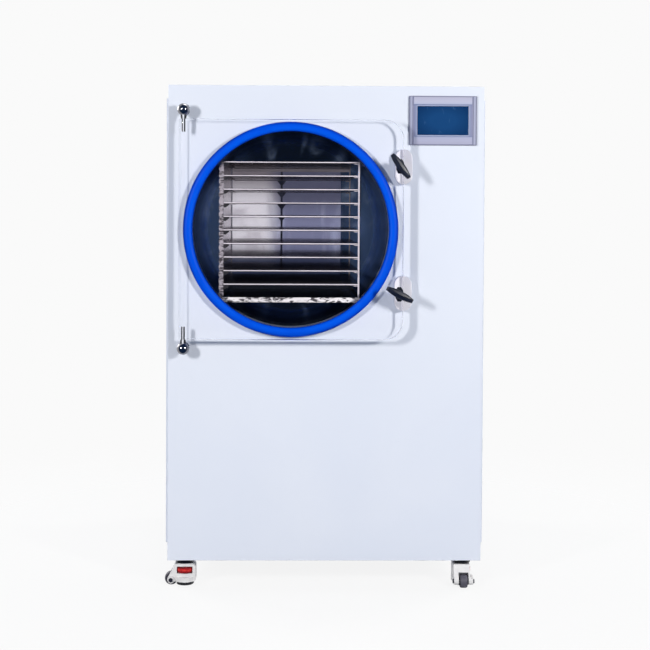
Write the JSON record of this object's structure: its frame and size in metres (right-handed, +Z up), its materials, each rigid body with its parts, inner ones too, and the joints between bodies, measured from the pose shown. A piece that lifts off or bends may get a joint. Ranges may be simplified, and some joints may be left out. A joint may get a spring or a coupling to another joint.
{
  "type": "freeze dryer",
  "caption": "Upright freeze dryer with a horizontal chamber behind a clear hinged door, heated shelves, a touch screen and levelling casters.",
  "frame": {"origin": "on the floor under the middle of the whole machine", "axes": "+Z up, -Y towards the user in front of the door, +X to the user's right"},
  "size_m": [0.974, 1.1114, 1.522],
  "materials": {
    "white_paint": "smooth powder coat, semi-gloss",
    "frame_steel": "primer grey",
    "chamber_steel": "polished stainless",
    "shelf_steel": "bright stainless sheet",
    "blue_silicone": "satin silicone",
    "clear_acrylic": "clear polished",
    "chrome": "mirror",
    "white_plastic": "satin",
    "black_plastic": "satin",
    "grey_plastic": "fine satin",
    "screen_glass": "gloss",
    "black_steel": "black plating",
    "white_casting": "powder coat over casting",
    "red_plastic": "moulded",
    "black_rubber": "moulded"
  },
  "bodies": {
    "cabinet": {"front_panel": "white_paint", "cabinet_shell": "white_paint", "right_side_panel": "white_paint", "left_side_panel": "white_paint", "back_panel": "white_paint", "base_plate": "white_paint", "cabinet_frame": "frame_steel", "vacuum_chamber": "chamber_steel", "door_seal": "blue_silicone", "mouth_trim_ring": "white_paint", "rack_tray": "shelf_steel", "rack_left_side": "shelf_steel", "rack_front_post": "shelf_steel", "rack_rear_frame": "shelf_steel", "shelf_01": "shelf_steel", "shelf_02": "shelf_steel", "shelf_03": "shelf_steel", "shelf_04": "shelf_steel", "shelf_05": "shelf_steel", "shelf_06": "shelf_steel", "shelf_07": "shelf_steel", "shelf_08": "shelf_steel", "shelf_09": "shelf_steel", "shelf_10": "shelf_steel", "rear_baffle": "shelf_steel", "heater_harness": "black_plastic", "upper_hinge_ball": "chrome", "lower_hinge_ball": "chrome", "upper_latch_block": "white_plastic", "lower_latch_block": "white_plastic", "screen_frame": "grey_plastic", "screen_display": "screen_glass", "cable_gland": "black_plastic", "front_left_caster_plate": "black_steel", "front_right_caster_plate": "black_steel", "rear_left_caster_plate": "black_steel", "rear_right_caster_plate": "black_steel"},
    "door": {"door_plate": "clear_acrylic", "upper_clamp_pad": "black_plastic", "lower_clamp_pad": "black_plastic"},
    "upper_washer": {"upper_clamp_washer": "chrome"},
    "upper_knob": {"upper_clamp_knob": "black_plastic"},
    "lower_washer": {"lower_clamp_washer": "chrome"},
    "lower_knob": {"lower_clamp_knob": "black_plastic"},
    "front_left_yoke": {"front_left_caster_yoke": "white_casting"},
    "front_left_wheel": {"front_left_caster_wheel": "black_rubber"},
    "front_left_thumbwheel": {"front_left_caster_thumbwheel": "red_plastic"},
    "front_left_foot": {"front_left_caster_foot": "black_rubber"},
    "front_right_yoke": {"front_right_caster_yoke": "white_casting"},
    "front_right_wheel": {"front_right_caster_wheel": "black_rubber"},
    "front_right_thumbwheel": {"front_right_caster_thumbwheel": "red_plastic"},
    "front_right_foot": {"front_right_caster_foot": "black_rubber"},
    "rear_left_yoke": {"rear_left_caster_yoke": "white_casting"},
    "rear_left_wheel": {"rear_left_caster_wheel": "black_rubber"},
    "rear_left_thumbwheel": {"rear_left_caster_thumbwheel": "red_plastic"},
    "rear_left_foot": {"rear_left_caster_foot": "black_rubber"},
    "rear_right_yoke": {"rear_right_caster_yoke": "white_casting"},
    "rear_right_wheel": {"rear_right_caster_wheel": "black_rubber"},
    "rear_right_thumbwheel": {"rear_right_caster_thumbwheel": "red_plastic"},
    "rear_right_foot": {"rear_right_caster_foot": "black_rubber"}
  },
  "joints": [
    {"name": "door_swing", "type": "hinge", "parent": "cabinet", "child": "door", "pos_m": [-0.426, -0.5073, 1.089], "axis": [0, 0, -1], "range_deg": [0, 180]},
    {"name": "upper_clamp_travel", "type": "slide", "parent": "door", "child": "upper_washer", "axis": [0, -1, 0], "range_m": [0, 0.00751]},
    {"name": "upper_clamp_turn", "type": "hinge", "parent": "upper_washer", "child": "upper_knob", "pos_m": [0.2175, -0.54, 1.279], "axis": [0, -1, 0], "range_deg": [0, 1800]},
    {"name": "lower_clamp_travel", "type": "slide", "parent": "door", "child": "lower_washer", "axis": [0, -1, 0], "range_m": [0, 0.00751]},
    {"name": "lower_clamp_turn", "type": "hinge", "parent": "lower_washer", "child": "lower_knob", "pos_m": [0.2175, -0.54, 0.899], "axis": [0, -1, 0], "range_deg": [0, 1800]},
    {"name": "front_left_swivel", "type": "hinge", "parent": "cabinet", "child": "front_left_yoke", "pos_m": [-0.425, -0.4113, 0.06], "axis": [0, 0, 1], "continuous": true},
    {"name": "front_left_roll", "type": "hinge", "parent": "front_left_yoke", "child": "front_left_wheel", "pos_m": [-0.4665, -0.4113, 0.02], "axis": [0, 1, 0], "continuous": true},
    {"name": "front_left_level", "type": "hinge", "parent": "front_left_yoke", "child": "front_left_thumbwheel", "pos_m": [-0.425, -0.4113, 0.0538], "axis": [0, 0, 1], "range_deg": [0, 2160]},
    {"name": "front_left_foot_drop", "type": "slide", "parent": "front_left_yoke", "child": "front_left_foot", "axis": [0, 0, -1], "range_m": [0, 0.01201]},
    {"name": "front_right_swivel", "type": "hinge", "parent": "cabinet", "child": "front_right_yoke", "pos_m": [0.425, -0.4113, 0.06], "axis": [0, 0, 1], "continuous": true},
    {"name": "front_right_roll", "type": "hinge", "parent": "front_right_yoke", "child": "front_right_wheel", "pos_m": [0.425, -0.4528, 0.02], "axis": [1, 0, 0], "continuous": true},
    {"name": "front_right_level", "type": "hinge", "parent": "front_right_yoke", "child": "front_right_thumbwheel", "pos_m": [0.425, -0.4113, 0.0538], "axis": [0, 0, 1], "range_deg": [0, 2160]},
    {"name": "front_right_foot_drop", "type": "slide", "parent": "front_right_yoke", "child": "front_right_foot", "axis": [0, 0, -1], "range_m": [0, 0.01201]},
    {"name": "rear_left_swivel", "type": "hinge", "parent": "cabinet", "child": "rear_left_yoke", "pos_m": [-0.425, 0.4627, 0.06], "axis": [0, 0, 1], "continuous": true},
    {"name": "rear_left_roll", "type": "hinge", "parent": "rear_left_yoke", "child": "rear_left_wheel", "pos_m": [-0.425, 0.5042, 0.02], "axis": [1, 0, 0], "continuous": true},
    {"name": "rear_left_level", "type": "hinge", "parent": "rear_left_yoke", "child": "rear_left_thumbwheel", "pos_m": [-0.425, 0.4627, 0.0538], "axis": [0, 0, 1], "range_deg": [0, 2160]},
    {"name": "rear_left_foot_drop", "type": "slide", "parent": "rear_left_yoke", "child": "rear_left_foot", "axis": [0, 0, -1], "range_m": [0, 0.01201]},
    {"name": "rear_right_swivel", "type": "hinge", "parent": "cabinet", "child": "rear_right_yoke", "pos_m": [0.425, 0.4627, 0.06], "axis": [0, 0, 1], "continuous": true},
    {"name": "rear_right_roll", "type": "hinge", "parent": "rear_right_yoke", "child": "rear_right_wheel", "pos_m": [0.4665, 0.4627, 0.02], "axis": [0, 1, 0], "continuous": true},
    {"name": "rear_right_level", "type": "hinge", "parent": "rear_right_yoke", "child": "rear_right_thumbwheel", "pos_m": [0.425, 0.4627, 0.0538], "axis": [0, 0, 1], "range_deg": [0, 2160]},
    {"name": "rear_right_foot_drop", "type": "slide", "parent": "rear_right_yoke", "child": "rear_right_foot", "axis": [0, 0, -1], "range_m": [0, 0.01201]}
  ],
  "couplings": [
    {"joint": "upper_clamp_travel", "follows": "upper_clamp_turn", "m_per_rad": 0.00023873},
    {"joint": "lower_clamp_travel", "follows": "lower_clamp_turn", "m_per_rad": 0.00023873},
    {"joint": "front_left_foot_drop", "follows": "front_left_level", "m_per_rad": 0.00031831},
    {"joint": "front_right_foot_drop", "follows": "front_right_level", "m_per_rad": 0.00031831},
    {"joint": "rear_left_foot_drop", "follows": "rear_left_level", "m_per_rad": 0.00031831},
    {"joint": "rear_right_foot_drop", "follows": "rear_right_level", "m_per_rad": 0.00031831}
  ]
}
